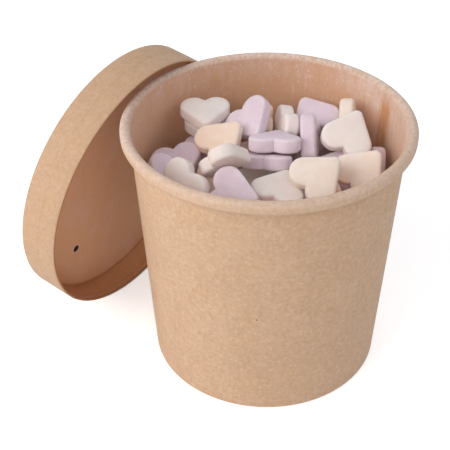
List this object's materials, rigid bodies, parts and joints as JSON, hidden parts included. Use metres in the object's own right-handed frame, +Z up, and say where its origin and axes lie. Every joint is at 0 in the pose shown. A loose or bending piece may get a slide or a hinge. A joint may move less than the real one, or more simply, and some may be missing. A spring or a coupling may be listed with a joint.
{
  "type": "paper candy tub with lid",
  "caption": "Round kraft paper tub with a rolled rim, heaped with small heart-shaped candies, its shallow paper lid leaning against it.",
  "frame": {"origin": "centre of the tub's foot, on the surface it stands on", "axes": "+Z up along the tub's axis; the lid leans on the -X side, its mouth facing +X"},
  "size_m": [0.1234, 0.103, 0.1011],
  "materials": {
    "kraft_tub": "matt kraft board with fine fibres",
    "kraft_lid": "matt kraft board with fine fibres",
    "candy_lilac": "matt pressed sugar, powdery",
    "candy_white": "matt pressed sugar, powdery",
    "candy_peach": "matt pressed sugar, powdery",
    "candy_cream": "matt pressed sugar, powdery"
  },
  "bodies": {
    "root": {"candy_01": "candy_lilac", "candy_02": "candy_lilac", "candy_03": "candy_lilac", "candy_04": "candy_lilac", "candy_05": "candy_lilac", "candy_06": "candy_peach", "candy_07": "candy_lilac", "candy_08": "candy_peach", "candy_09": "candy_lilac", "candy_10": "candy_white", "candy_11": "candy_lilac", "candy_12": "candy_lilac", "candy_13": "candy_lilac", "candy_14": "candy_white", "candy_15": "candy_lilac", "candy_16": "candy_lilac", "candy_17": "candy_cream", "candy_18": "candy_white", "candy_19": "candy_peach", "candy_20": "candy_lilac", "candy_21": "candy_white", "candy_22": "candy_lilac", "candy_23": "candy_lilac", "candy_24": "candy_peach", "candy_25": "candy_cream", "candy_26": "candy_peach", "candy_27": "candy_white", "candy_28": "candy_lilac", "candy_29": "candy_lilac", "candy_30": "candy_white", "candy_31": "candy_peach", "candy_32": "candy_lilac", "candy_33": "candy_white", "candy_34": "candy_lilac", "candy_35": "candy_cream", "candy_layer_01": "candy_white", "candy_layer_02": "candy_peach", "candy_layer_03": "candy_cream", "candy_layer_04": "candy_lilac", "candy_layer_05": "candy_white", "candy_layer_06": "candy_peach", "candy_layer_07": "candy_cream", "candy_layer_08": "candy_lilac", "candy_layer_09": "candy_white", "lid_panel": "kraft_lid", "lid_ring": "kraft_lid", "tub_base": "kraft_tub", "tub_wall": "kraft_tub"}
  },
  "joints": []
}
